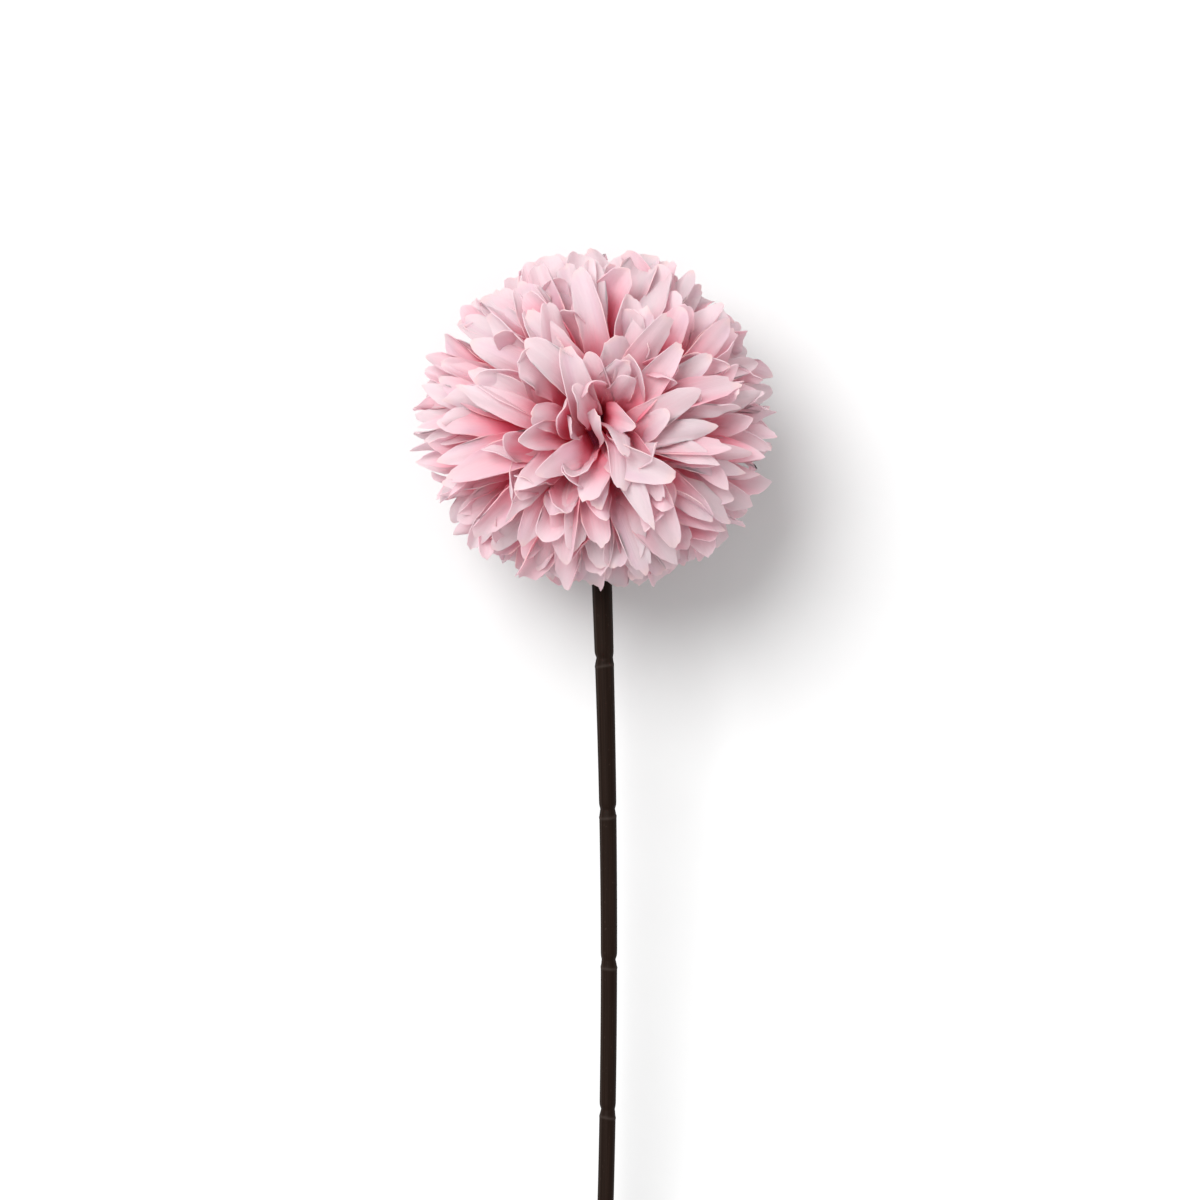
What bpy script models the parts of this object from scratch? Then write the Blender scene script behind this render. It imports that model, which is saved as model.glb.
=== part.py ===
"""Pompon chrysanthemum, an artificial single stem laid on its side.

The bloom is a ball of fabric petals in rings round the point where they part, which faces
up while the flower lies. A moulded calyx at the ball's side carries it on a peg and takes
the stem in a socket. The stem is a plastic sheath with moulded rings over a steel wire. The
lowest petals are pressed flat where the ball rests, and the stem's cut end touches the same
surface.

Metres, +Z up. The origin is on that surface, at the middle of the part's box.
"""

import math
import random

import bmesh
import bpy
from mathutils import Matrix, Vector

# Where the ball lies
BALL_CENTRE = Vector((0.0, 0.2045, 0.0405))
BALL_RADIUS = 0.045            # from its centre to the petal tips
BALL_DEPTH = 0.0400            # the same on the stem's side, which is flatter
STEM_LENGTH = 0.455            # from the ball's centre to the cut end

# Bloom
CORE_RADIUS = 0.0255           # the packed roots of the petals, one body
CORE_SQUASH = 0.9              # the core is shorter along the stem's line
PARTING = Vector((0.047, -0.038, 1.0))   # from the ball's centre to where the petals part
RING_COUNT = 17                # rings of petals from the parting to the back
FIRST_RING = math.radians(7)
LAST_RING = math.radians(172)
WIDEST_RING_PETALS = 31
TIP_SCATTER = 0.10             # how far a tip strays from its ring, in radians
STEP_SCATTER = 0.16            # the same along the ring, as a share of a step
LEAN = 0.35                    # how much nearer to the parting a root is than its tip, at most
LEAN_FADE = 1.2                # the lean fades out over this angle before the back
STEM_GAP = math.radians(14)    # no tip is nearer to the stem's line
ROOT_GAP = math.radians(33)    # and no root nearer than this
OPENED_FROM = math.radians(85)   # roots this far from the stem's line stay where they are
PETAL_REACH = (-0.0030, 0.0008)   # how much shorter or longer than the ball's radius
PETAL_WIDTH = 0.0086
WIDTH_SHARE = (0.78, 1.08)     # the narrowest and the widest petal
WIDEST_AT = 0.72               # share of a petal's length from its root
BEND = 0.12                    # most that a petal curves sideways
ROLL = 0.20                    # most that a petal turns about its own length
SIDE_ROLL = 0.60               # the same added at the ball's left and right
SIDE_NARROW = 0.20             # share of their width that petals lose there
SIDE_REACH = 0.0012            # and how much longer they are there
TUCK = 0.07                    # share of their reach that petals lose round the turn to the back
TUCK_AT = math.radians(117)
TUCK_SPREAD = math.radians(16)
PETAL_THICKNESS = 0.0012       # at the middle of a petal, its sides run out thin
PETAL_ROOT = 0.018             # petals start this far from the centre, inside the core
PRESS_FROM = 0.0012            # petals lower than this are bent towards the surface
PRESS_TO = -0.0019
SPLAY = 1.2                    # how far they slide outwards for each step that they are lifted
PETAL_SEED = 7

# Stem and wire
STEM_TOP_RADIUS = 0.0026
STEM_RADIUS = 0.00205
STEM_TAPER_END = 0.15          # from here on the stem has its lower radius
STEM_START = 0.0285            # the stem's end in the calyx, from the ball's centre
STEM_SIDES = 12
GROOVE_FIRST = 0.0563
GROOVE_SPACING = 0.0378
GROOVE_DEPTH = 0.0004
GROOVE_HALF = 0.0012
GROOVE_FLOOR = 0.0005
RIM_RISE = 0.00012             # low rim under each groove
BOW = 0.00314                  # sideways swing of the stem
BOW_SPAN = 0.262               # from the ball's centre to where the swing crosses over
WIRE_RADIUS = 0.0008
WIRE_GAP = 0.0003
WIRE_START = 0.0300
WIRE_PROUD = 0.0006            # the wire stands out of the cut end

# Calyx
FIT_GAP = 0.0003               # between pieces that seat on each other
PEG_RADIUS = 0.0020
PEG_LENGTH = 0.0100
CUP_RADIUS = 0.0082
COLLAR_RADIUS = 0.0038
COLLAR_END = 0.0345            # lower end of the calyx, from the ball's centre
SEPAL_COUNT = 10
SEPAL_WIDTH = 0.0046
SEPAL_THICKNESS = 0.0010
SEPAL_BASE = math.radians(172)   # polar angle of the sepals' roots, from the crown
SEPAL_TIP = math.radians(157)  # and of their tips
SEPAL_RISE = 0.0014            # how far the tips stand off the core


def clear_scene():
    for obj in list(bpy.data.objects):
        bpy.data.objects.remove(obj, do_unlink=True)


def new_collection(name):
    collection = bpy.data.collections.new(name)
    bpy.context.scene.collection.children.link(collection)
    return collection


def new_material(name, colour, roughness, metallic=0.0):
    material = bpy.data.materials.new(name)
    material.use_nodes = True
    shader = material.node_tree.nodes["Principled BSDF"]
    shader.inputs["Base Color"].default_value = (*colour, 1.0)
    shader.inputs["Roughness"].default_value = roughness
    shader.inputs["Metallic"].default_value = metallic
    return material


def object_from(bm, name, collection):
    mesh = bpy.data.meshes.new(name)
    bm.to_mesh(mesh)
    bm.free()
    obj = bpy.data.objects.new(name, mesh)
    collection.objects.link(obj)
    return obj


def as_cutter(obj):
    obj.hide_render = True
    obj.display_type = "WIRE"
    return obj


def add_boolean(obj, operation, other, solver="EXACT"):
    modifier = obj.modifiers.new(operation.title(), "BOOLEAN")
    modifier.operation = operation
    modifier.solver = solver
    if isinstance(other, bpy.types.Collection):
        modifier.operand_type = "COLLECTION"
        modifier.collection = other
    else:
        modifier.object = other


def apply_modifiers(obj):
    graph = bpy.context.evaluated_depsgraph_get()
    mesh = bpy.data.meshes.new_from_object(obj.evaluated_get(graph))
    obj.modifiers.clear()
    obj.data = mesh


def remove_collection(collection):
    for obj in list(collection.objects):
        bpy.data.objects.remove(obj, do_unlink=True)
    bpy.data.collections.remove(collection)


def stem_point(distance):
    """A point on the stem's line, measured from the ball's centre to the cut end."""
    drop = (BALL_CENTRE.z - STEM_RADIUS) * distance / STEM_LENGTH
    swing = BOW * math.sin(math.pi * distance / BOW_SPAN)
    return BALL_CENTRE + Vector((swing, -distance, -drop))


def ball_frame():
    """The ball's own frame. Z runs from the stem to the crown, and Y faces up."""
    crown = (BALL_CENTRE - stem_point(0.001)).normalized()
    side = Vector((0, 0, 1)).cross(crown).normalized()
    facing = crown.cross(side)
    frame = Matrix((side, facing, crown)).transposed().to_4x4()
    frame.translation = BALL_CENTRE
    return frame


def in_ball(polar, azimuth, radius):
    around = Vector((math.cos(azimuth), math.sin(azimuth), 0)) * math.sin(polar)
    return (around + Vector((0, 0, math.cos(polar)))) * radius


def ring_axes():
    """The rings' own axes: to the right, to the crown, and up to the parting."""
    crown = ball_frame().col[2].to_3d()
    up = PARTING.normalized()
    right = crown.cross(up).normalized()
    return right, up.cross(right), up


def ring_direction(polar, azimuth):
    right, forward, up = ring_axes()
    around = right * math.cos(azimuth) + forward * math.sin(azimuth)
    return around * math.sin(polar) + up * math.cos(polar)


def reach_at(direction):
    """From the ball's centre to its surface, a ball on the crown's side and flatter below."""
    share = direction.dot(ball_frame().col[2].to_3d())
    depth = BALL_RADIUS if share > 0 else BALL_DEPTH
    return 1 / math.sqrt((1 - share ** 2) / BALL_RADIUS ** 2 + share ** 2 / depth ** 2)


def root_direction(polar, azimuth):
    """A root leans to the parting, and all of them make room for the stem."""
    lean = LEAN * polar / (polar + LEAN) * min(1, (math.pi - polar) / LEAN_FADE)
    leaning = ring_direction(polar - lean, azimuth)
    stem = -ball_frame().col[2].to_3d()
    angle = leaning.angle(stem)
    opened = angle + ROOT_GAP * max(0, 1 - angle / OPENED_FROM) ** 2
    away = (leaning - stem * leaning.dot(stem)).normalized()
    return stem * math.cos(opened) + away * math.sin(opened)


def petal_places():
    """Ring by ring, where each petal stands and how it differs from its neighbours."""
    draw = random.Random(PETAL_SEED)
    turn = math.pi * (3 - math.sqrt(5))
    stem = -ball_frame().col[2].to_3d()
    places = []
    for ring in range(RING_COUNT):
        middle = FIRST_RING + (LAST_RING - FIRST_RING) * ring / (RING_COUNT - 1)
        count = max(3, round(WIDEST_RING_PETALS * math.sin(middle)))
        for number in range(count):
            polar = middle + draw.uniform(-TIP_SCATTER, TIP_SCATTER)
            step = number + draw.uniform(-STEP_SCATTER, STEP_SCATTER)
            azimuth = ring * turn + math.tau * step / count
            bend = draw.uniform(-BEND, BEND)
            longer = draw.uniform(*PETAL_REACH)
            width = PETAL_WIDTH * draw.uniform(*WIDTH_SHARE)
            tip = ring_direction(polar, azimuth)
            side = abs(tip.x) ** 3
            roll = draw.uniform(-1, 1) * (ROLL + SIDE_ROLL * side)
            tucked = 1 - TUCK * math.exp(-((polar - TUCK_AT) / TUCK_SPREAD) ** 2)
            if tip.angle(stem) < STEM_GAP:
                continue
            places.append({
                "root": root_direction(polar, azimuth),
                "tip": tip,
                "sideways": ring_direction(math.pi / 2, azimuth + math.pi / 2),
                "bend": bend,
                "reach": reach_at(tip) * tucked + longer + SIDE_REACH * side,
                "width": width * (1 - SIDE_NARROW * side),
                "roll": roll,
            })
    return places


def petal_width_at(s):
    """Share of the full width at s, from the root at 0 to the tip at 1."""
    grow = 0.24 + 0.76 * min(s / WIDEST_AT, 1)
    fade = math.sqrt(max(0, 1 - (max(0, s - WIDEST_AT) / (1 - WIDEST_AT)) ** 2))
    return grow * fade


def petal_line(place, s):
    """The middle line of a petal. It turns from the root's direction with the square of s."""
    turned = place["tip"] - place["root"] + place["sideways"] * place["bend"]
    direction = (place["root"] + turned * s * s).normalized()
    return direction * (PETAL_ROOT + (place["reach"] - PETAL_ROOT) * s)


def pressed(height):
    """Heights under PRESS_FROM close in on PRESS_TO, which the resting plane then cuts off."""
    if height > PRESS_FROM:
        return height
    room = PRESS_FROM - PRESS_TO
    return PRESS_TO + room * math.exp((height - PRESS_FROM) / room)


def make_petal(place, name, collection):
    """A ball of three sides, drawn out along the petal's line with its keel below."""
    bm = bmesh.new()
    bmesh.ops.create_uvsphere(bm, u_segments=3, v_segments=4, radius=1)
    levels = {}
    for vert in bm.verts:
        levels.setdefault(round(vert.co.z, 3), []).append(vert)
    outward = Vector((place["tip"].x, place["tip"].y, 0)).normalized()
    for level, verts in levels.items():
        s = 1 - ((1 - level) / 2) ** 1.25
        here = petal_line(place, s)
        along = (petal_line(place, s + 0.01) - petal_line(place, s - 0.01)).normalized()
        across = (place["sideways"] - along * along.dot(place["sideways"])).normalized()
        across = Matrix.Rotation(place["roll"], 3, along) @ across
        upward = along.cross(across)
        ring = math.sqrt(max(1e-9, 1 - level * level))
        half = place["width"] / 2 * petal_width_at(s)
        points = []
        for vert in verts:
            side = vert.co.y / ring / 0.866
            keel = max(0, vert.co.x / ring)
            if len(verts) == 1:
                side = keel = 0
            points.append(BALL_CENTRE + here + across * side * half - upward * keel * PETAL_THICKNESS)
        low = min(point.z for point in points)
        lift = pressed(low) - low
        for vert, point in zip(verts, points):
            vert.co = point + (Vector((0, 0, 1)) + outward * SPLAY) * lift
    return object_from(bm, name, collection)


def make_bloom(parts, cutters):
    frame = ball_frame()
    bm = bmesh.new()
    bmesh.ops.create_uvsphere(bm, u_segments=20, v_segments=12, radius=CORE_RADIUS)
    bmesh.ops.scale(bm, vec=(1, 1, CORE_SQUASH), verts=bm.verts)
    bmesh.ops.transform(bm, matrix=frame, verts=bm.verts)
    bloom = object_from(bm, "bloom", parts)
    petals = new_collection("petals")
    for number, place in enumerate(petal_places()):
        make_petal(place, f"petal {number}", petals)
    add_boolean(bloom, "UNION", petals, "MANIFOLD")
    apply_modifiers(bloom)
    remove_collection(petals)

    bm = bmesh.new()
    bmesh.ops.create_cube(bm, size=1)
    bmesh.ops.scale(bm, vec=(0.12, 0.12, 0.02), verts=bm.verts)
    bmesh.ops.translate(bm, vec=(BALL_CENTRE.x, BALL_CENTRE.y, -0.01), verts=bm.verts)
    add_boolean(bloom, "DIFFERENCE", as_cutter(object_from(bm, "resting plane", cutters)), "MANIFOLD")

    depth = PEG_LENGTH + FIT_GAP + 0.004
    bm = bmesh.new()
    bmesh.ops.create_cone(bm, cap_ends=True, segments=16, radius1=PEG_RADIUS + FIT_GAP,
                          radius2=PEG_RADIUS + FIT_GAP, depth=depth)
    middle = CORE_RADIUS * CORE_SQUASH + 0.004 - depth / 2
    bmesh.ops.translate(bm, vec=(0, 0, -middle), verts=bm.verts)
    bmesh.ops.transform(bm, matrix=frame, verts=bm.verts)
    add_boolean(bloom, "DIFFERENCE", as_cutter(object_from(bm, "peg hole", cutters)), "MANIFOLD")
    apply_modifiers(bloom)
    bloom.data.materials.append(new_material("petal fabric", (0.80, 0.50, 0.58), 0.8))
    return bloom


def core_depth(radius):
    """Depth of the core's underside below the ball's centre, at a distance from the axis."""
    return CORE_RADIUS * CORE_SQUASH * math.sqrt(1 - (radius / CORE_RADIUS) ** 2)


def cup_profile():
    """Radius and depth down the outer side from the peg's top, then up inside the socket."""
    top = CORE_RADIUS * CORE_SQUASH + FIT_GAP
    socket = STEM_TOP_RADIUS + FIT_GAP
    floor = STEM_START - FIT_GAP
    return [
        (0, top - PEG_LENGTH),
        (PEG_RADIUS - 0.0003, top - PEG_LENGTH),
        (PEG_RADIUS, top - PEG_LENGTH + 0.0004),
        (PEG_RADIUS, core_depth(PEG_RADIUS) + FIT_GAP),
        (0.0050, core_depth(0.0050) + FIT_GAP),
        (CUP_RADIUS - 0.0006, core_depth(CUP_RADIUS - 0.0006) + FIT_GAP),
        (CUP_RADIUS, core_depth(CUP_RADIUS) + 0.0010),
        (CUP_RADIUS - 0.0006, top + 0.0022),
        (0.0056, top + 0.0046),
        (COLLAR_RADIUS + 0.0002, top + 0.0068),
        (COLLAR_RADIUS, COLLAR_END - 0.0006),
        (COLLAR_RADIUS - 0.0004, COLLAR_END),
        (socket, COLLAR_END),
        (socket, floor),
        (0, floor),
    ]


def make_sepal(number, frame, collection):
    """A pointed leaf along the core's underside, its tip standing off."""
    bm = bmesh.new()
    bmesh.ops.create_uvsphere(bm, u_segments=4, v_segments=5, radius=1)
    azimuth = math.tau * number / SEPAL_COUNT
    across = Vector((-math.sin(azimuth), math.cos(azimuth), 0))
    for vert in bm.verts:
        s = (1 + vert.co.z) / 2
        polar = SEPAL_BASE + (SEPAL_TIP - SEPAL_BASE) * s
        squash = math.sqrt(math.sin(polar) ** 2 + (math.cos(polar) / CORE_SQUASH) ** 2)
        clear = FIT_GAP + SEPAL_THICKNESS * 0.75 + SEPAL_RISE * s ** 2
        here = in_ball(polar, azimuth, CORE_RADIUS / squash + clear)
        outward = here.normalized()
        width = SEPAL_WIDTH * (1 - 0.55 * s)
        vert.co = frame @ (here + across * vert.co.y * width / 2 + outward * vert.co.x * SEPAL_THICKNESS / 2)
    return object_from(bm, f"sepal {number}", collection)


def make_calyx(parts):
    frame = ball_frame()
    profile = [Vector((radius, 0, -depth)) for radius, depth in cup_profile()]
    mesh = bpy.data.meshes.new("calyx")
    mesh.from_pydata(profile, [(i, i + 1) for i in range(len(profile) - 1)], [])
    calyx = bpy.data.objects.new("calyx", mesh)
    parts.objects.link(calyx)
    screw = calyx.modifiers.new("Screw", "SCREW")
    screw.angle = math.tau
    screw.steps = 16
    screw.render_steps = 16
    screw.use_merge_vertices = True
    screw.merge_threshold = 0.00005
    apply_modifiers(calyx)
    calyx.data.transform(frame)
    sepals = new_collection("sepals")
    for number in range(SEPAL_COUNT):
        make_sepal(number, frame, sepals)
    add_boolean(calyx, "UNION", sepals)
    apply_modifiers(calyx)
    remove_collection(sepals)
    calyx.data.materials.append(new_material("moulded plastic", (0.020, 0.012, 0.009), 0.6))
    return calyx


def stem_stations():
    """Distances along the stem and the outer radius there, with the moulded rings."""
    stations = [(STEM_START, STEM_TOP_RADIUS - 0.0003), (STEM_START + 0.0005, STEM_TOP_RADIUS)]
    groove = GROOVE_FIRST
    while groove < STEM_LENGTH - 0.01:
        here = stem_radius_at(groove)
        stations.append((groove - GROOVE_SPACING / 2, stem_radius_at(groove - GROOVE_SPACING / 2)))
        stations.append((groove - GROOVE_HALF, here))
        stations.append((groove - GROOVE_FLOOR, here - GROOVE_DEPTH))
        stations.append((groove + GROOVE_FLOOR, here - GROOVE_DEPTH))
        stations.append((groove + GROOVE_HALF, here + RIM_RISE))
        stations.append((groove + GROOVE_HALF * 2.2, here))
        groove += GROOVE_SPACING
    stations.append((STEM_LENGTH, STEM_RADIUS))
    return stations


def stem_radius_at(distance):
    share = min(1, max(0, (distance - STEM_START) / (STEM_TAPER_END - STEM_START)))
    return STEM_TOP_RADIUS + (STEM_RADIUS - STEM_TOP_RADIUS) * (1 - (1 - share) ** 2)


def tube_along_stem(stations, sides, name, collection):
    """A round bar on the stem's line with the radius given at each distance."""
    curve = bpy.data.curves.new(name, "CURVE")
    curve.dimensions = "3D"
    curve.twist_mode = "Z_UP"
    curve.bevel_depth = 1.0
    curve.bevel_resolution = (sides - 4) // 2
    curve.use_fill_caps = True
    spline = curve.splines.new("POLY")
    spline.points.add(len(stations) - 1)
    for point, (distance, radius) in zip(spline.points, stations):
        point.co = (*stem_point(distance), 1)
        point.radius = radius
    source = bpy.data.objects.new(name, curve)
    collection.objects.link(source)
    mesh = bpy.data.meshes.new_from_object(source.evaluated_get(bpy.context.evaluated_depsgraph_get()))
    place = source.matrix_world.copy()
    bpy.data.objects.remove(source, do_unlink=True)
    bm = bmesh.new()
    bm.from_mesh(mesh)
    bmesh.ops.remove_doubles(bm, verts=bm.verts, dist=0.00001)
    bmesh.ops.recalc_face_normals(bm, faces=bm.faces)
    obj = object_from(bm, name, collection)
    obj.matrix_world = place
    return obj


def make_stem(parts, cutters):
    stem = tube_along_stem(stem_stations(), STEM_SIDES, "stem", parts)
    bore = [(STEM_START - 0.002, WIRE_RADIUS + WIRE_GAP)]
    bore += [(distance, WIRE_RADIUS + WIRE_GAP) for distance in wire_stations()]
    bore += [(STEM_LENGTH + 0.003, WIRE_RADIUS + WIRE_GAP)]
    cutter = as_cutter(tube_along_stem(bore, 8, "wire bore", cutters))
    add_boolean(stem, "DIFFERENCE", cutter)
    stem.data.materials.append(new_material("brown plastic", (0.021, 0.013, 0.010), 0.55))
    return stem


def wire_stations():
    return [WIRE_START + (STEM_LENGTH - WIRE_START) * step / 24 for step in range(25)]


def make_wire(parts):
    stations = [(distance, WIRE_RADIUS) for distance in wire_stations()]
    stations[-1] = (STEM_LENGTH + WIRE_PROUD, WIRE_RADIUS)
    wire = tube_along_stem(stations, 8, "stem_wire", parts)
    wire.data.materials.append(new_material("steel wire", (0.50, 0.49, 0.47), 0.35, 1.0))
    return wire


clear_scene()
pompon = new_collection("pompon chrysanthemum")
cutting = new_collection("cutters")
make_bloom(pompon, cutting)
make_calyx(pompon)
make_stem(pompon, cutting)
make_wire(pompon)
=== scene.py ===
# An artificial pompon chrysanthemum lying on a pale table, seen from straight above.

import math
import random

import bmesh
import bpy
import numpy as np
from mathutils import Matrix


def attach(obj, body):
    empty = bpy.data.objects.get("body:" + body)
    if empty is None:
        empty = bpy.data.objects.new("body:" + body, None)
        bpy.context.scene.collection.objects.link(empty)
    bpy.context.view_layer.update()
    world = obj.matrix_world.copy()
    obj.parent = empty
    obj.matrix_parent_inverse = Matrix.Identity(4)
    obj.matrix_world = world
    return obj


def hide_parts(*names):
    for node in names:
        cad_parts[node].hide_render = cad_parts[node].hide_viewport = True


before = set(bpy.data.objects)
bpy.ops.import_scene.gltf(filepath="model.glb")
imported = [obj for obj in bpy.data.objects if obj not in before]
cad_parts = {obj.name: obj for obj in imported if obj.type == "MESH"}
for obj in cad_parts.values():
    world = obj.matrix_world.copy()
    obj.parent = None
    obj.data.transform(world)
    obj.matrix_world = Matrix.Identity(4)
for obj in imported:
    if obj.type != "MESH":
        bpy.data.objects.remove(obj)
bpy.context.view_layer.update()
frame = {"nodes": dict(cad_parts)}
print("frame loaded:", ", ".join(frame["nodes"]))

ball = {
    "centre": (0.0, 0.2045, 0.0405),
    "radius": 0.045,
    "depth": 0.0400,
}
stemLine = {
    "length": 0.455,
    "endRadius": 0.00205,
    "bow": 0.00314,
    "bowSpan": 0.262,
}


# The stem's line: swing = bow sin(pi d / bowSpan), and a straight drop to the table at the cut end
def stemPoints(distance):
    distance = np.asarray(distance, float)
    swing = stemLine["bow"] * np.sin(math.pi * distance / stemLine["bowSpan"])
    drop = (ball["centre"][2] - stemLine["endRadius"]) * distance / stemLine["length"]
    return np.array(ball["centre"]) + np.stack([swing, -distance, -drop], axis=-1)


# Columns are the ball's own axes: sideways, up, and from the stem to the crown
def ballAxes():
    crown = stemPoints(0.0) - stemPoints(0.001)
    crown /= np.linalg.norm(crown)
    side = np.cross([0, 0, 1], crown)
    side /= np.linalg.norm(side)
    return np.stack([side, np.cross(crown, side), crown], axis=-1)


axes = ballAxes()


def toWorld(points):
    return points @ axes.T + np.array(ball["centre"])


def unit(vectors):
    return vectors / np.maximum(np.linalg.norm(vectors, axis=-1, keepdims=True), 1e-12)


def smooth(low, high, x):
    t = np.clip((x - low) / (high - low), 0, 1)
    return t * t * (3 - 2 * t)


# Sum of three sines with random phases, about -1 to 1, one curve for each row of seeds
def wander(x, phases, pitch):
    total = np.sin(x * pitch + phases[0]) + 0.6 * np.sin(x * pitch * 2.13 + phases[1])
    return (total + 0.4 * np.sin(x * pitch * 4.31 + phases[2])) / 1.6


# A closed or open grid of points becomes a mesh; rows and columns wrap where asked
def gridFaces(rows, columns, wrapRows=False, wrapColumns=False):
    r = np.arange(rows if wrapRows else rows - 1)[:, None]
    c = np.arange(columns if wrapColumns else columns - 1)[None, :]
    nextR = (r + 1) % rows
    nextC = (c + 1) % columns
    quads = [r * columns + c, r * columns + nextC, nextR * columns + nextC, nextR * columns + c]
    return np.stack([np.broadcast_to(q, (r.shape[0], c.shape[1])) for q in quads], axis=-1).reshape(-1, 4)


def meshObject(name, points, quads, uv=None, attributes=None):
    mesh = bpy.data.meshes.new(name)
    mesh.vertices.add(len(points))
    mesh.vertices.foreach_set("co", points.astype(np.float32).ravel())
    mesh.loops.add(quads.size)
    mesh.loops.foreach_set("vertex_index", quads.astype(np.int32).ravel())
    mesh.polygons.add(len(quads))
    mesh.polygons.foreach_set("loop_start", np.arange(0, quads.size, 4, dtype=np.int32))
    mesh.polygons.foreach_set("use_smooth", np.ones(len(quads), bool))
    if uv is not None:
        layer = mesh.uv_layers.new(name="UVMap")
        layer.uv.foreach_set("vector", uv[quads.ravel()].astype(np.float32).ravel())
    for key, values in (attributes or {}).items():
        attribute = mesh.attributes.new(key, "FLOAT", "POINT")
        attribute.data.foreach_set("value", values.astype(np.float32).ravel())
    mesh.update(calc_edges=True)
    mesh.validate()
    made = bpy.data.objects.new(name, mesh)
    bpy.context.scene.collection.objects.link(made)
    return made


# A socket that adds, multiplies and so on by making Math nodes
class Wire:
    def __init__(self, graph, socket):
        self.graph = graph
        self.socket = socket

    def math(self, operation, *values):
        inputs = dict(enumerate(values))
        return self.graph.node("Math", {"operation": operation}, inputs)

    def __add__(self, other):
        return self.math("ADD", self, other)

    def __radd__(self, other):
        return self.math("ADD", other, self)

    def __sub__(self, other):
        return self.math("SUBTRACT", self, other)

    def __rsub__(self, other):
        return self.math("SUBTRACT", other, self)

    def __mul__(self, other):
        return self.math("MULTIPLY", self, other)

    def __rmul__(self, other):
        return self.math("MULTIPLY", other, self)

    def __truediv__(self, other):
        return self.math("DIVIDE", self, other)

    def __pow__(self, other):
        return self.math("POWER", self, other)

    def size(self):
        return self.math("ABSOLUTE", self)

    def least(self, other):
        return self.math("MINIMUM", self, other)

    def most(self, other):
        return self.math("MAXIMUM", self, other)

    def step(self, low, high):
        settings = {"interpolation_type": "SMOOTHSTEP"}
        return self.graph.node("MapRange", settings, {0: self, 1: low, 2: high})


class Graph:
    def __init__(self, name):
        self.material = bpy.data.materials.new(name)
        self.material.use_nodes = True
        self.tree = self.material.node_tree
        self.tree.nodes.clear()

    def node(self, kind, settings=None, inputs=None, output=0):
        made = self.tree.nodes.new("ShaderNode" + kind)
        for key, value in (settings or {}).items():
            setattr(made, key, value)
        for key, value in (inputs or {}).items():
            self.feed(made.inputs[key], value)
        return Wire(self, made.outputs[output]) if made.outputs else None

    def feed(self, socket, value):
        if isinstance(value, Wire):
            self.tree.links.new(value.socket, socket)
        elif socket.type == "RGBA" and len(value) == 3:
            socket.default_value = (*value, 1.0)
        else:
            socket.default_value = value

    def blend(self, share, first, second, kind="MIX"):
        settings = {"data_type": "RGBA", "blend_type": kind}
        return self.node("Mix", settings, {0: share, 6: first, 7: second}, output=2)

    def parts(self, vector):
        split = self.node("SeparateXYZ", None, {0: vector}).socket.node
        return [Wire(self, socket) for socket in split.outputs]

    def vector(self, x, y, z):
        return self.node("CombineXYZ", None, {0: x, 1: y, 2: z})

    def noise(self, where, scale, detail=2.0, roughness=0.5):
        inputs = {"Vector": where, "Scale": scale, "Detail": detail, "Roughness": roughness}
        return self.node("TexNoise", None, inputs)

    def bump(self, height, strength, distance):
        inputs = {"Height": height, "Strength": strength, "Distance": distance}
        return self.node("Bump", None, inputs)

    def finish(self, shader):
        self.node("OutputMaterial", None, {"Surface": shader})
        return self.material


# The camera looks straight down, with the top of the picture towards the crown
camera = {
    "x": 0.0009,
    "y": 0.1625,
    "above": 1.0,
    "lens": 121.3,
}


def makeCamera():
    data = bpy.data.cameras.new("camera")
    data.lens = camera["lens"]
    data.sensor_width = 36.0
    data.clip_start = 0.01
    made = bpy.data.objects.new("camera", data)
    made.location = (camera["x"], camera["y"], ball["centre"][2] + camera["above"])
    bpy.context.scene.collection.objects.link(made)
    bpy.context.scene.camera = made


makeCamera()
print("camera made")


petalRings = {
    "facing": (0.047, -0.038, 1.0),
    "count": 19,
    "firstTip": math.radians(7),
    "lastTip": math.radians(172),
    "widest": 34,
    "lean": 0.35,
    "stemGap": math.radians(12),
    "rootGap": math.radians(33),
    "openedFrom": math.radians(85),
    "seed": 7,
}
petal = {
    "width": 0.0080,
    "root": 0.017,
    "thickness": 0.00022,
    "rows": 13,
    "columns": 11,
    "cup": 0.0015,
    "ripple": 0.0009,
    "ragged": 0.00036,
    "pressFrom": 0.0030,
    "pressTo": 0.0004,
    "splay": 1.2,
}


# Columns are the rings' own axes: to the right, to the crown, and up to where the petals part
def ringAxes():
    up = unit(np.array(petalRings["facing"]))
    right = unit(np.cross(axes[:, 2], up))
    return np.stack([right, np.cross(up, right), up], axis=-1)


rings = ringAxes()


# reach = 1 / sqrt(across^2 / radius^2 + along^2 / depth^2), where depth is the radius on the crown's side
def reachAt(direction):
    along = float(direction @ axes[:, 2])
    depth = ball["radius"] if along > 0 else ball["depth"]
    return 1 / math.sqrt((1 - along * along) / ball["radius"] ** 2 + along * along / depth ** 2)


def direction(polar, azimuth):
    local = np.array([math.sin(polar) * math.cos(azimuth), math.sin(polar) * math.sin(azimuth), math.cos(polar)])
    return rings @ local


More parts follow.
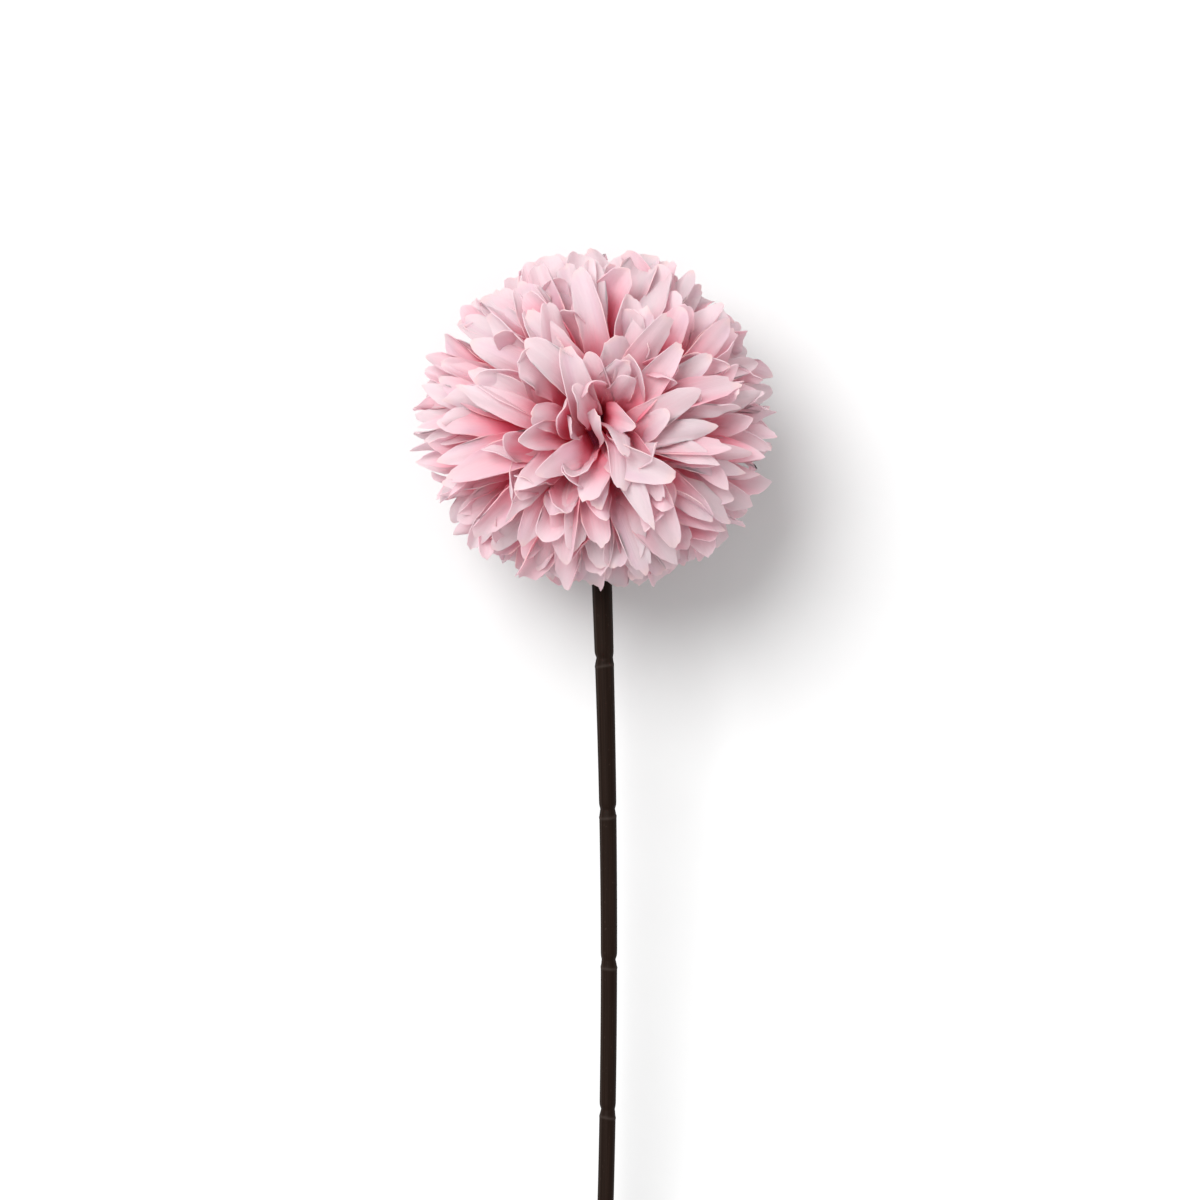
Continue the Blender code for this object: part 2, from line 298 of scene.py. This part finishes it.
# A root sits nearer to the parting than its tip, by lean t / (t + lean) for a tip at the polar
# angle t, and its angle a from the stem opens to a + rootGap (1 - a / openedFrom)^2
def rootDirection(polar, azimuth):
    lean = petalRings["lean"]
    lean *= polar / (polar + lean) * min(1, (math.pi - polar) / 1.2)
    leaning = direction(polar - lean, azimuth)
    stem = -axes[:, 2]
    angle = math.acos(max(-1.0, min(1.0, float(leaning @ stem))))
    opened = angle + petalRings["rootGap"] * max(0, 1 - angle / petalRings["openedFrom"]) ** 2
    away = unit(leaning - stem * float(leaning @ stem))
    return stem * math.cos(opened) + away * math.sin(opened)


# One record for each petal, ring by ring from the parting to the back, as the solid has them:
# its root, its tip and its sideways direction, then bend, reach, width, roll and ring angle
def petalPlaces():
    draw = random.Random(petalRings["seed"])
    turn = math.pi * (3 - math.sqrt(5))
    places = []
    for ring in range(petalRings["count"]):
        share = ring / (petalRings["count"] - 1)
        middle = petalRings["firstTip"] + (petalRings["lastTip"] - petalRings["firstTip"]) * share
        count = max(3, round(petalRings["widest"] * math.sin(middle)))
        for number in range(count):
            polar = middle + draw.uniform(-0.10, 0.10)
            azimuth = ring * turn + math.tau * (number + draw.uniform(-0.16, 0.16)) / count
            bend = draw.uniform(-0.12, 0.12)
            longer = draw.uniform(-0.0030, 0.0008)
            width = petal["width"] * draw.uniform(0.78, 1.08)
            tip = direction(polar, azimuth)
            roll = draw.uniform(-1, 1) * (0.40 + 0.80 * abs(tip[0]) ** 3)
            if tip @ -axes[:, 2] > math.cos(petalRings["stemGap"]):
                continue
            sideways = rings @ np.array([-math.sin(azimuth), math.cos(azimuth), 0.0])
            width *= 1 - 0.20 * abs(tip[0]) ** 3
            longer += 0.0012 * abs(tip[0]) ** 3
            tucked = 1 - 0.07 * math.exp(-((polar - 2.04) / 0.28) ** 2)
            places.append((*rootDirection(polar, azimuth), *tip, *sideways,
                           bend, reachAt(tip) * tucked + longer, width, roll, polar))
    return np.array(places)


# Heights under pressFrom close in on pressTo, and what is lifted also slides outwards
def pressDown(points, outward):
    room = petal["pressFrom"] - petal["pressTo"]
    height = points[..., 2]
    below = np.minimum(height - petal["pressFrom"], 0)
    lift = np.where(below < 0, petal["pressTo"] + room * np.exp(below / room) - height, 0)
    move = np.concatenate([outward[..., :2] * petal["splay"], np.ones_like(outward[..., :1])], axis=-1)
    return points + move * lift[..., None]


# Middle line: direction = root + (tip - root + bend sideways) s^2 + curl outwards max(s - 0.6, 0)^2,
# distance = root + (reach - root) s. The blade spreads from it across, and upwards by its cup
# and ripple: cup u^2 + ripple |u|^1.5 sin(waves s + phase)
def petalPoints(places, seed):
    count = len(places)
    root, tip, sideways = (places[:, None, None, k:k + 3] for k in (0, 3, 6))
    bend, reach, width, roll = (places[:, k][:, None, None] for k in (9, 10, 11, 12))
    outwards = np.cross(sideways, tip)
    draw = np.random.default_rng(seed)

    def each(low, high):
        return draw.uniform(low, high, (count, 1, 1))

    u = np.linspace(-1, 1, petal["columns"])[None, None, :]
    v = 1 - (1 - np.linspace(0, 1, petal["rows"])[None, :, None]) ** 1.35
    notch = wander(u, draw.uniform(0, 6.28, (3, count, 1, 1)), 8.0)
    raggedTip = petal["ragged"] / (reach - petal["root"]) * notch * each(0.1, 1.4)
    blunt = 2.0 + 0.3 * smooth(-0.3, 0.5, tip[..., 1])
    roundTip = each(0.14, 0.22) * (1 - np.maximum(1 - np.abs(u) ** blunt, 0) ** (1 / blunt))
    drawnTip = each(-1.2, 1.0).clip(0) * 0.09 * smooth(0.5, -0.2, tip[..., 1])
    drawnTip = (drawnTip + 0.10 * np.abs(tip[..., 0]) ** 3) * np.abs(u)
    s = v * (1 - roundTip - drawnTip) + raggedTip * smooth(0.6, 1.0, v)
    curl = each(-1.2, 1.8)
    sweep = each(-0.4, 0.4)

    def middle(t):
        t = t[..., None]
        lean = root + (tip - root + bend[..., None] * sideways) * t * t
        lean = lean + sweep[..., None] * sideways * t * (1 - t)
        lean = lean + curl[..., None] * outwards * np.maximum(t - 0.6, 0) ** 2
        return unit(lean) * (petal["root"] + (reach[..., None] - petal["root"]) * t)

    here = middle(s)
    along = unit(middle(s + 0.01) - middle(s - 0.01))
    across = unit(sideways - along * np.sum(sideways * along, -1, keepdims=True))
    upward = np.cross(along, across)
    turn = (roll + each(-0.6, 0.6) * s)[..., None]
    across, upward = across * np.cos(turn) + upward * np.sin(turn), upward * np.cos(turn) - across * np.sin(turn)

    share = 0.38 + 0.62 * smooth(-0.1, 0.72, s) - 0.05 * smooth(0.75, 1.0, s)
    left = wander(s, draw.uniform(0, 6.28, (3, count, 1, 1)), 11.0)
    right = wander(s, draw.uniform(0, 6.28, (3, count, 1, 1)), 11.0)
    edge = np.where(u < 0, left, right) * smooth(0.5, 1.0, np.abs(u)) * smooth(0.2, 0.5, s)
    side = u * width / 2 * share + np.sign(u) * edge * petal["ragged"] * 0.5

    waveLeft = np.sin(s * each(12, 26) + each(0, 6.28))
    waveRight = np.sin(s * each(12, 26) + each(0, 6.28))
    wave = np.where(u < 0, waveLeft, waveRight) * np.abs(u) ** 1.5 * smooth(0.25, 0.7, s)
    cup = petal["cup"] * each(-0.6, 2.2) * u * u * smooth(0.1, 0.6, s)
    fold = 0.0004 * each(-1, 1) * np.cos(u * math.pi * 1.5) * smooth(0.2, 0.6, s)
    rise = cup + petal["ripple"] * each(0.3, 1.4) * wave + fold
    world = np.array(ball["centre"]) + here + across * side[..., None] + upward * rise[..., None]

    world = pressDown(world, unit(tip * [1, 1, 0]) * np.ones_like(world))
    uv = np.stack(np.broadcast_arrays(u * 0.5 + 0.5 + 0 * s, s), -1)
    tone = each(0, 1) * np.ones_like(s)
    lot = each(0, 50) * np.ones_like(s)
    return world, uv, tone, lot


# Edges between two points of a blade's border are sharp, so its cut rim doesn't bend its shading
def rimSharp(mesh, rows, columns):
    ends = np.empty(len(mesh.edges) * 2, np.int32)
    mesh.edges.foreach_get("vertices", ends)
    row, column = np.divmod(ends.reshape(-1, 2) % (rows * columns), columns)
    border = (row == 0) | (row == rows - 1) | (column == 0) | (column == columns - 1)
    sharp = mesh.attributes.new("sharp_edge", "BOOLEAN", "EDGE")
    sharp.data.foreach_set("value", border.all(axis=1))


def makePetals(name, places, seed):
    world, uv, tone, lot = petalPoints(places, seed)
    one = gridFaces(petal["rows"], petal["columns"])[:, ::-1]
    each = petal["rows"] * petal["columns"]
    quads = (one[None] + np.arange(len(world))[:, None, None] * each).reshape(-1, 4)
    made = meshObject(name, world.reshape(-1, 3), quads, uv.reshape(-1, 2),
                      {"tone": tone, "lot": lot})
    rimSharp(made.data, petal["rows"], petal["columns"])
    solid = made.modifiers.new("Solidify", "SOLIDIFY")
    solid.thickness = petal["thickness"]
    solid.offset = 0
    return made


# Pale lilac tips run into deep pink roots; the cut rim is cream and the fibres run lengthwise
def petalMaterial():
    graph = Graph("petal fabric")
    uv = graph.node("UVMap", {"uv_map": "UVMap"})
    x, y, _ = graph.parts(uv)
    tone = graph.node("Attribute", {"attribute_name": "tone"}, output=2)
    lot = graph.node("Attribute", {"attribute_name": "lot"}, output=2)
    fibres = graph.noise(graph.vector(x * 26 + lot, y * 3, lot), 1.0, 3.0)
    cloud = graph.noise(graph.vector(x * 1.6 + lot, y * 2.4, lot * 3), 1.0, 2.0)
    height = y + (cloud - 0.5) * 0.35 + (tone - 0.5) * 0.22 + (fibres - 0.5) * 0.10
    deep = (0.95, 0.25, 0.38)
    middle = (0.98, 0.51, 0.61)
    pale = (0.90, 0.76, 0.81)
    tip = (0.87, 0.89, 0.905)
    colour = graph.blend(height.step(0.28, 0.60), deep, middle)
    colour = graph.blend(height.step(0.48, 0.80), colour, pale)
    colour = graph.blend(height.step(0.72, 0.98), colour, tip)
    lilac = graph.blend(cloud.step(0.52, 0.74) * 0.25, colour, (0.70, 0.38, 0.60))
    rim = ((x * 2 - 1).size().step(0.90, 1.0)).most(y.step(0.95, 1.0)) * y.step(0.4, 0.7)
    colour = graph.blend(rim * cloud.step(0.35, 0.6) * 0.7, lilac, (0.97, 0.88, 0.82))
    relief = graph.bump(fibres + cloud * 0.6, 0.35, 0.00025)
    skin = graph.node("BsdfPrincipled", None, {
        "Base Color": colour, "Roughness": 0.72, "Normal": relief,
        "Specular IOR Level": 0.25,
    })
    glowDeep = graph.node("BsdfTranslucent", None, {"Color": (0.95, 0.22, 0.34), "Normal": relief})
    glowPale = graph.node("BsdfTranslucent", None, {"Color": (0.90, 0.66, 0.71), "Normal": relief})
    glow = graph.node("MixShader", None, {0: height.step(0.30, 0.90), 1: glowDeep, 2: glowPale})
    return graph.finish(graph.node("MixShader", None, {0: 0.60, 1: skin, 2: glow}))


core = {
    "radius": 0.0215,
    "stemDepth": 0.0228,
    "crownDepth": 0.0195,
}


# The roots: a unit ball stretched to its depths, with lumps of 2% sin(9 polar) sin(11 azimuth)
def makeCore():
    shape = bmesh.new()
    bmesh.ops.create_uvsphere(shape, u_segments=48, v_segments=24, radius=1)
    mesh = bpy.data.meshes.new("bloom_core")
    shape.to_mesh(mesh)
    shape.free()
    points = np.empty(len(mesh.vertices) * 3, np.float32)
    mesh.vertices.foreach_get("co", points)
    x, y, z = points.reshape(-1, 3).T
    lumps = 1 + 0.02 * np.sin(9 * np.arccos(np.clip(z, -1, 1))) * np.sin(11 * np.arctan2(y, x))
    depth = np.where(z < 0, core["stemDepth"], core["crownDepth"])
    world = toWorld(np.stack([x * core["radius"], y * core["radius"], z * depth], -1) * lumps[:, None])
    mesh.vertices.foreach_set("co", world.astype(np.float32).ravel())
    mesh.polygons.foreach_set("use_smooth", np.ones(len(mesh.polygons), bool))
    made = bpy.data.objects.new("bloom_core", mesh)
    bpy.context.scene.collection.objects.link(made)
    graph = Graph("petal roots in painted shade")
    where = graph.node("TexCoord", None, None, output=3)
    speck = graph.noise(where, 900.0, 3.0)
    # Dark crimson: the bunched petal roots, painted darker than their deep pink dye as painted shade deep inside
    # the ball
    colour = graph.blend(speck.step(0.3, 0.7), (0.34, 0.02, 0.07), (0.50, 0.05, 0.13))
    skin = graph.node("BsdfPrincipled", None, {
        "Base Color": colour, "Roughness": 0.8, "Normal": graph.bump(speck, 0.5, 0.0004),
    })
    mesh.materials.append(graph.finish(skin))
    return made


places = petalPlaces()
bounds = [0, math.radians(62), math.radians(100), 4]
tiers = ["petals_front", "petals_round", "petals_back"]
fabric = petalMaterial()
for number, name in enumerate(tiers):
    inTier = (places[:, 13] >= bounds[number]) & (places[:, 13] < bounds[number + 1])
    tier = makePetals(name, places[inTier], 40 + number)
    tier.data.materials.append(fabric)
    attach(tier, "root")
    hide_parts("bloom")
    print(name, int(inTier.sum()), "petals")
roots = makeCore()
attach(roots, "root")
print("bloom made")


sheath = {
    "start": 0.0285,
    "topRadius": 0.0026,
    "taperEnd": 0.15,
    "bore": 0.0011,
    "boreSteps": 60,
    "sides": 48,
    "firstGroove": 0.0563,
    "grooveSpacing": 0.0378,
    "grooveDepth": 0.00042,
    "grooveWidth": 0.0008,
    "collar": 0.0019,
    "lip": 0.00009,
}


# radius = end + (top - end) (1 - t)^2 - depth (0.75 + 0.25 cos(a - turn)) exp(-|x / width|^1.7)
# - 0.00006 on the collar under the groove + lip exp(-((x - collar) / 0.0003)^2), x from each groove
def sheathRadius(distance, angle):
    t = np.clip((distance - sheath["start"]) / (sheath["taperEnd"] - sheath["start"]), 0, 1)
    radius = stemLine["endRadius"] + (sheath["topRadius"] - stemLine["endRadius"]) * (1 - t) ** 2
    radius = radius + 0 * angle
    worn = np.zeros_like(radius)
    grooves = np.arange(sheath["firstGroove"], stemLine["length"] - 0.01, sheath["grooveSpacing"])
    for number, groove in enumerate(grooves):
        x = distance - groove
        uneven = 0.75 + 0.25 * np.cos(angle - 1.9 * number)
        radius -= sheath["grooveDepth"] * uneven * np.exp(-(np.abs(x) / sheath["grooveWidth"]) ** 1.7)
        radius -= 0.00006 * smooth(0.0004, 0.0008, x) * smooth(-sheath["collar"], -sheath["collar"] + 0.0004, -x)
        lip = np.exp(-((x - sheath["collar"] - 0.0003 * np.cos(angle - number)) / 0.0003) ** 2)
        radius += sheath["lip"] * lip
        worn += lip
    return radius, worn


# A skin round the stem's line: centre + radius (side cos a + up sin a), out along the sheath and
# back up its bore
def makeSheath():
    grooves = np.arange(sheath["firstGroove"], stemLine["length"] - 0.01, sheath["grooveSpacing"])
    near = np.array([-2.4, -1.6, -1.1, -0.8, -0.5, -0.25, 0, 0.25, 0.5, 0.8, 1.2, 1.7, 2.0, 2.3, 2.6, 3.0, 3.8])
    between = np.linspace(sheath["start"] + 0.0004, stemLine["length"] - 0.0003, 90)
    outside = np.sort(np.concatenate([between, (grooves[:, None] + near * 0.001).ravel()]))
    bore = np.linspace(stemLine["length"], sheath["start"], sheath["boreSteps"])
    distance = np.concatenate([[sheath["start"]], outside, [stemLine["length"]], bore])[:, None]
    angle = np.linspace(0, math.tau, sheath["sides"], endpoint=False)[None, :]
    radius, worn = sheathRadius(distance, angle)
    inside = len(bore)
    radius[0] -= 0.0003
    radius[-inside - 1] -= 0.00025
    radius[-inside:] = sheath["bore"]
    worn[-inside - 1:] = 0.4
    middle = stemPoints(distance[:, 0])[:, None, :]
    along = unit(stemPoints(distance[:, 0] + 0.001) - stemPoints(distance[:, 0] - 0.001))[:, None, :]
    side = unit(np.cross(along, [0.0, 0.0, 1.0]))
    up = np.cross(side, along)
    points = middle + radius[..., None] * (side * np.cos(angle)[..., None] + up * np.sin(angle)[..., None])
    around = np.ones_like(radius)
    made = meshObject("stem_sheath", points.reshape(-1, 3),
                      gridFaces(*radius.shape, wrapRows=True, wrapColumns=True), None,
                      {"side": np.cos(angle) * around, "up": np.sin(angle) * around,
                       "along": distance * around, "worn": worn})
    made.data.materials.append(plasticMaterial("stem plastic"))
    return made


# Dark brown plastic with lengthwise streaks, two mould lines, specks and paler lips
def plasticMaterial(name):
    graph = Graph(name)
    side, up, along, worn = (
        graph.node("Attribute", {"attribute_name": key}, output=2) for key in ("side", "up", "along", "worn"))
    streak = graph.noise(graph.vector(side * 7, up * 7, along * 40), 1.0, 3.0)
    fleck = graph.noise(graph.vector(side * 5, up * 5, along * 1400), 1.0, 2.0)
    seam = (side * 0.80 + up * 0.60).step(0.990, 0.9995).most((up * 0.45 - side * 0.89).step(0.992, 0.9995))
    colour = graph.blend(streak.step(0.3, 0.7), (0.0075, 0.0030, 0.0014), (0.0130, 0.0062, 0.0038))
    colour = graph.blend(seam * 0.45, colour, (0.036, 0.024, 0.018))
    colour = graph.blend(fleck.step(0.66, 0.76) * 0.30, colour, (0.07, 0.05, 0.04))
    colour = graph.blend(worn.least(1.0) * 0.5, colour, (0.046, 0.034, 0.029))
    relief = graph.bump(streak + seam * 0.8 + fleck * 0.4, 0.4, 0.00015)
    return graph.finish(graph.node("BsdfPrincipled", None, {
        "Base Color": colour, "Roughness": streak * 0.15 + 0.5, "Normal": relief,
        "Specular IOR Level": 0.07,
    }))


calyx = {
    "coreRadius": 0.0255,
    "coreSquash": 0.9,
    "gap": 0.0003,
    "cupRadius": 0.0082,
    "collarRadius": 0.0038,
    "collarEnd": 0.0345,
    "flank": 0.0052,
    "sides": 80,
    "ribs": 10,
    "sepals": 10,
    "sepalFrom": math.radians(172),
    "sepalTo": math.radians(157),
    "sepalWidth": 0.0046,
    "sepalRise": 0.0014,
    "sepalThickness": 0.0009,
}


def coreDepth(radius):
    return calyx["coreRadius"] * calyx["coreSquash"] * np.sqrt(1 - (radius / calyx["coreRadius"]) ** 2)


# A cup turned round the stem's line. Its flank narrows to the collar as 1 - smoothstep, with
# ten ribs of 0.00012 cos(10 a) that fade out on the collar; the wall inside follows the sheath
def makeCup():
    cup, collar, gap = calyx["cupRadius"], calyx["collarRadius"], calyx["gap"]
    top = coreDepth(cup) + gap
    fall = np.linspace(0, 1, 16)
    flankDepth = top + 0.0014 + calyx["flank"] * fall
    flankRadius = collar + (cup - collar) * (1 - smooth(-0.12, 1.0, fall))
    socket = sheath["topRadius"] + 0.0002
    inner = np.linspace(socket, cup - 0.0007, 6)
    radius = np.concatenate([[cup - 0.0003, cup], flankRadius,
                             [collar, collar - 0.0001, collar - 0.0004, socket], inner])
    depth = np.concatenate([[top + 0.0003, top + 0.0009], flankDepth,
                            [calyx["collarEnd"] - 0.0006, calyx["collarEnd"] - 0.0002,
                             calyx["collarEnd"], calyx["collarEnd"]], coreDepth(inner) + gap])
    angle = np.linspace(0, math.tau, calyx["sides"], endpoint=False)[None, :]
    ribs = 0.00012 * np.cos(calyx["ribs"] * angle) * smooth(collar, cup, radius)[:, None]
    far = radius[:, None] + np.where(np.arange(len(radius))[:, None] < 18, ribs, 0)
    points = np.stack([far * np.cos(angle), far * np.sin(angle), -depth[:, None] + 0 * far], -1)
    around = np.ones_like(far)
    made = meshObject("calyx_cup", toWorld(points).reshape(-1, 3),
                      gridFaces(*far.shape, wrapRows=True, wrapColumns=True), None,
                      {"side": np.cos(angle) * around, "up": np.sin(angle) * around,
                       "along": depth[:, None] * around, "worn": 0.25 * around})
    made.data.materials.append(plasticMaterial("calyx plastic"))
    return made


# Ten pointed leaves along the ball's underside: polar from sepalFrom to sepalTo, width (1 - 0.4 s)
# sqrt(1 - s^3), lifted by rise s^2, with a midrib of 0.0003 (1 - |u|)^2
def makeSepals():
    number = np.arange(calyx["sepals"])[:, None, None]
    s = np.linspace(0, 0.995, 12)[None, :, None]
    u = np.linspace(-1, 1, 7)[None, None, :]
    polar = calyx["sepalFrom"] + (calyx["sepalTo"] - calyx["sepalFrom"]) * s + 0 * u * number
    azimuth = math.tau * number / calyx["sepals"] + 0 * polar
    squash = np.sqrt(np.sin(polar) ** 2 + (np.cos(polar) / calyx["coreSquash"]) ** 2)
    clear = calyx["gap"] + 0.00075 + calyx["sepalRise"] * s * s + 0.0003 * (1 - np.abs(u)) ** 2
    outward = np.stack([np.sin(polar) * np.cos(azimuth), np.sin(polar) * np.sin(azimuth), np.cos(polar)], -1)
    across = np.stack([-np.sin(azimuth), np.cos(azimuth), 0 * azimuth], -1)
    half = calyx["sepalWidth"] / 2 * (1 - 0.4 * s) * np.sqrt(1 - s ** 3) * u
    points = outward * (calyx["coreRadius"] / squash + clear)[..., None] + across * (half + 0 * polar)[..., None]
    one = gridFaces(12, 7)
    quads = (one[None] + np.arange(calyx["sepals"])[:, None, None] * 84).reshape(-1, 4)
    around = np.ones_like(polar)
    made = meshObject("calyx_sepals", toWorld(points).reshape(-1, 3), quads, None,
                      {"side": u * around, "up": number * around, "along": s * 0.01 * around,
                       "worn": 0.2 * around})
    solid = made.modifiers.new("Solidify", "SOLIDIFY")
    solid.thickness = calyx["sepalThickness"]
    solid.offset = 0
    made.data.materials.append(plasticMaterial("sepal plastic"))
    return made


for piece, node in ((makeSheath(), "stem"), (makeCup(), "calyx"), (makeSepals(), "calyx")):
    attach(piece, "root")
    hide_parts(node)
print("stem and calyx made")


# Drawn steel: fine lines along the wire and a little rust brown in patches
def wireMaterial():
    graph = Graph("drawn steel")
    where = graph.node("TexCoord", None, None, output=3)
    x, y, z = graph.parts(where)
    lines = graph.noise(graph.vector(x * 9000, y * 60, z * 9000), 1.0, 2.0)
    stain = graph.noise(where, 1500.0, 3.0)
    colour = graph.blend(lines, (0.42, 0.41, 0.39), (0.60, 0.59, 0.57))
    colour = graph.blend(stain.step(0.55, 0.75) * 0.6, colour, (0.19, 0.10, 0.06))
    return graph.finish(graph.node("BsdfPrincipled", None, {
        "Base Color": colour, "Metallic": 1.0, "Roughness": lines * 0.2 + 0.25,
        "Normal": graph.bump(lines, 0.2, 0.00005),
    }))


wire = frame["nodes"]["stem_wire"]
wire.data.materials.clear()
wire.data.materials.append(wireMaterial())


light = {
    "towards": (-0.37, 0.36, 0.855),
    "strength": 3.25,
    "angle": 34,
    "sky": 0.82,
    "floor": 0.64,
}


def makeLight():
    data = bpy.data.lights.new("key", "SUN")
    data.energy = light["strength"]
    data.angle = math.radians(light["angle"])
    made = bpy.data.objects.new("key", data)
    bpy.context.scene.collection.objects.link(made)
    x, y, z = light["towards"]
    made.rotation_euler = (math.acos(z / math.sqrt(x * x + y * y + z * z)), 0, math.atan2(x, -y))
    world = bpy.data.worlds.new("sky")
    world.use_nodes = True
    world.node_tree.nodes["Background"].inputs["Color"].default_value = (1, 1, 1, 1)
    world.node_tree.nodes["Background"].inputs["Strength"].default_value = light["sky"]
    bpy.context.scene.world = world
    bpy.context.scene.view_settings.view_transform = "Standard"


def makeFloor():
    mesh = bpy.data.meshes.new("floor")
    mesh.from_pydata([(-3, -3, 0), (3, -3, 0), (3, 3, 0), (-3, 3, 0)], [], [(0, 1, 2, 3)])
    made = bpy.data.objects.new("floor", mesh)
    bpy.context.scene.collection.objects.link(made)
    graph = Graph("table")
    where = graph.node("TexCoord", None, None, output=3)
    grain = graph.noise(where, 60.0, 2.0)
    share = light["floor"]
    colour = graph.blend(grain, (share, share, share), (share + 0.02, share + 0.02, share + 0.02))
    mesh.materials.append(graph.finish(graph.node("BsdfPrincipled", None, {
        "Base Color": colour, "Roughness": 0.9, "Specular IOR Level": 0.1,
    })))


makeLight()
makeFloor()
print("light and floor made")
